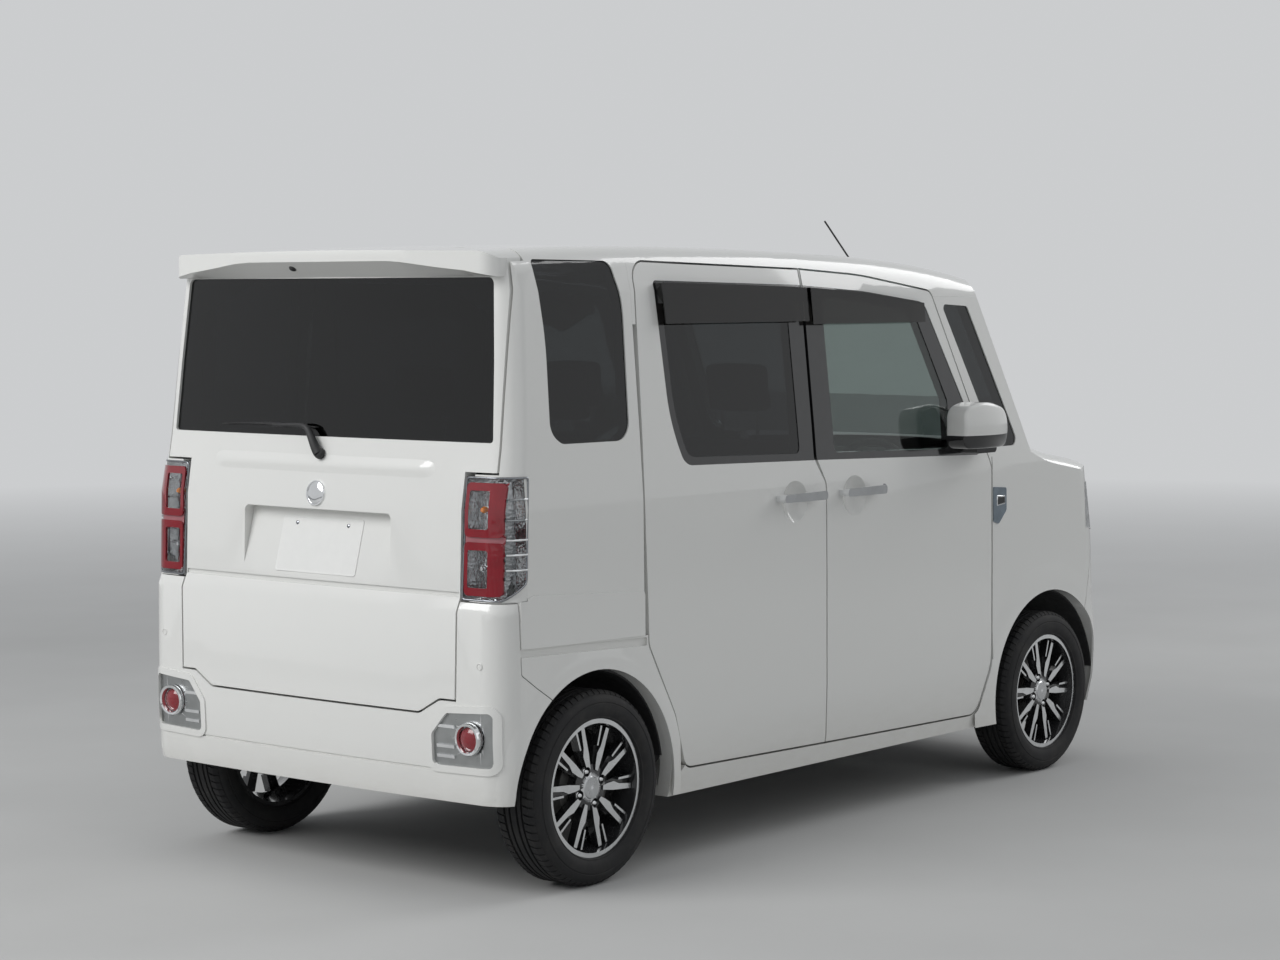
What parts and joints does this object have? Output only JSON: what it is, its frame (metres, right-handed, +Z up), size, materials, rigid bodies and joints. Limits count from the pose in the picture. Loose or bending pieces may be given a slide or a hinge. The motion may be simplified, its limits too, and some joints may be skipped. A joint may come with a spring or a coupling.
{
  "type": "tall five-door kei car",
  "caption": "Tall boxy small car with sliding rear side doors, hinged front doors, tailgate, hollow cabin, seats and steered front wheels.",
  "frame": {"origin": "on the ground, in the middle of the car's length and width", "axes": "+X forward, +Y to the car's left, +Z up"},
  "size_m": [3.396, 1.7558, 1.9233],
  "materials": {
    "pearl_paint": "gloss pearl white",
    "black_frame": "gloss black",
    "black_plastic": "matt black",
    "underbody": "dark coated",
    "dark_glass": "dark tinted",
    "clear_glass": "light tint",
    "lamp_glass": "clear",
    "red_lens": "red",
    "satin_trim": "satin chrome",
    "dark_trim": "grained",
    "seat_cloth": "woven",
    "engine_metal": "cast",
    "dark_steel": "coated",
    "plate_white": "satin",
    "tyre_rubber": "moulded",
    "wheel_alloy": "machined face"
  },
  "bodies": {
    "car_body": {"roof": "pearl_paint", "quarter_panels": "pearl_paint", "pillars": "pearl_paint", "sills": "pearl_paint", "front_fenders": "pearl_paint", "front_bumper": "pearl_paint", "rear_bumper": "pearl_paint", "sliding_doors": "pearl_paint", "floor_pan": "underbody", "wheel_liners": "black_plastic", "cowl": "black_plastic", "grilles": "black_plastic", "sliding_door_frames": "black_frame", "sliding_door_glass": "dark_glass", "fixed_side_glass": "dark_glass", "windscreen": "clear_glass", "head_lamps": "lamp_glass", "tail_lamps": "red_lens", "rear_reflectors": "satin_trim", "fender_garnishes": "satin_trim", "sliding_door_handles": "satin_trim", "dashboard": "dark_trim", "front_seats": "seat_cloth", "rear_seat": "seat_cloth", "engine_block": "engine_metal", "front_frame": "dark_steel", "front_suspension": "dark_steel", "rear_axle": "dark_steel", "exhaust": "dark_steel", "fuel_tank": "black_plastic", "antenna": "black_plastic"},
    "bonnet": {"bonnet": "pearl_paint"},
    "tailgate": {"tailgate": "pearl_paint", "tailgate_glass": "dark_glass", "number_plate": "plate_white", "rear_wiper": "black_plastic"},
    "steering_wheel": {"steering_wheel": "dark_trim"},
    "front_door_right": {"front_door_right": "pearl_paint", "front_door_frame_right": "black_frame", "front_door_glass_right": "clear_glass", "front_door_fittings_right": "pearl_paint"},
    "knuckle_right": {"knuckle_right": "dark_steel"},
    "front_door_left": {"front_door_left": "pearl_paint", "front_door_frame_left": "black_frame", "front_door_glass_left": "clear_glass", "front_door_fittings_left": "pearl_paint"},
    "knuckle_left": {"knuckle_left": "dark_steel"},
    "wheel_front_right": {"tyre_front_right": "tyre_rubber", "rim_front_right": "wheel_alloy"},
    "wheel_front_left": {"tyre_front_left": "tyre_rubber", "rim_front_left": "wheel_alloy"},
    "wheel_rear_right": {"tyre_rear_right": "tyre_rubber", "rim_rear_right": "wheel_alloy"},
    "wheel_rear_left": {"tyre_rear_left": "tyre_rubber", "rim_rear_left": "wheel_alloy"}
  },
  "joints": [
    {"name": "steer_left", "type": "hinge", "parent": "car_body", "child": "knuckle_left", "pos_m": [1.1875, 0.6, 0.281], "axis": [0, 0, 1], "range_deg": [-34, 34]},
    {"name": "wheel_front_left_spin", "type": "hinge", "parent": "knuckle_left", "child": "wheel_front_left", "pos_m": [1.1875, 0.65, 0.281], "axis": [0, 1, 0], "continuous": true},
    {"name": "wheel_rear_left_spin", "type": "hinge", "parent": "car_body", "child": "wheel_rear_left", "pos_m": [-1.2675, 0.65, 0.281], "axis": [0, 1, 0], "continuous": true},
    {"name": "steer_right", "type": "hinge", "parent": "car_body", "child": "knuckle_right", "pos_m": [1.1875, -0.6, 0.281], "axis": [0, 0, 1], "range_deg": [-34, 34]},
    {"name": "wheel_front_right_spin", "type": "hinge", "parent": "knuckle_right", "child": "wheel_front_right", "pos_m": [1.1875, -0.65, 0.281], "axis": [0, 1, 0], "continuous": true},
    {"name": "wheel_rear_right_spin", "type": "hinge", "parent": "car_body", "child": "wheel_rear_right", "pos_m": [-1.2675, -0.65, 0.281], "axis": [0, 1, 0], "continuous": true},
    {"name": "steering_wheel_turn", "type": "hinge", "parent": "car_body", "child": "steering_wheel", "pos_m": [0.61, -0.35, 1.005], "axis": [-0.9, 0, 0.436], "range_deg": [-545, 545]},
    {"name": "front_door_right_hinge", "type": "hinge", "parent": "car_body", "child": "front_door_right", "pos_m": [0.8085, -0.7375, 0.8], "axis": [0, 0, 1], "range_deg": [0, 68]},
    {"name": "front_door_left_hinge", "type": "hinge", "parent": "car_body", "child": "front_door_left", "pos_m": [0.8085, 0.7375, 0.8], "axis": [0, 0, -1], "range_deg": [0, 68]},
    {"name": "tailgate_hinge", "type": "hinge", "parent": "car_body", "child": "tailgate", "pos_m": [-1.5, 0, 1.826], "axis": [0, 1, 0], "range_deg": [0, 80]},
    {"name": "bonnet_hinge", "type": "hinge", "parent": "car_body", "child": "bonnet", "pos_m": [1.17, 0, 1.15], "axis": [0, -1, 0], "range_deg": [0, 50]}
  ],
  "couplings": [
    {"joint": "steer_right", "follows": "steer_left", "ratio": 1},
    {"joint": "steering_wheel_turn", "follows": "steer_left", "ratio": 16}
  ]
}
